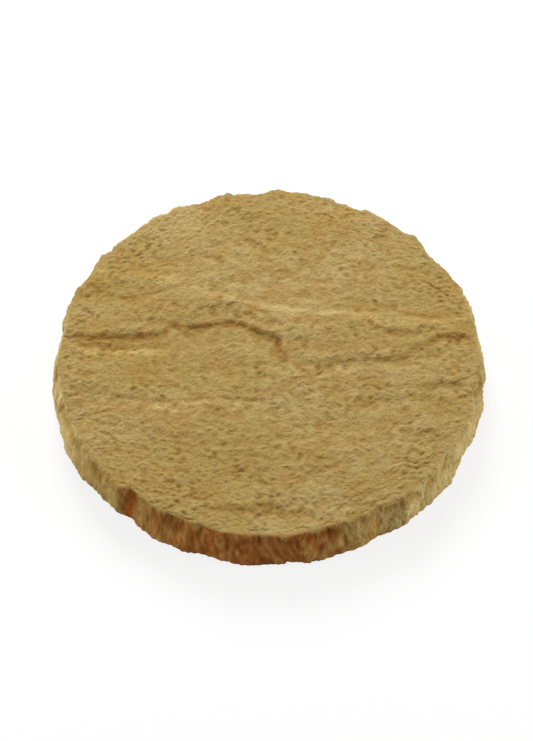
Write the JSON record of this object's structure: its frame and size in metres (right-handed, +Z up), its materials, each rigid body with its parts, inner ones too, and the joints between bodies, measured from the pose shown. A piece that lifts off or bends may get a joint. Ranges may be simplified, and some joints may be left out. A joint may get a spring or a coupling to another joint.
{
  "type": "garden stepping stone",
  "caption": "Round garden stepping stone of cast stone, with a riven sandstone face to tread on, a broken rim and a flat back to bed on the ground.",
  "frame": {"origin": "middle of the flat back, on the ground", "axes": "+Z up through the riven face, -Y towards the front of the stone, which the main ledge faces"},
  "size_m": [0.2999, 0.3001, 0.03],
  "materials": {
    "cast_stone": "matt buff sandstone, gritty, with rust-brown staining in the ledges and on the rim"
  },
  "bodies": {
    "root": {"stepping_stone": "cast_stone"}
  },
  "joints": []
}
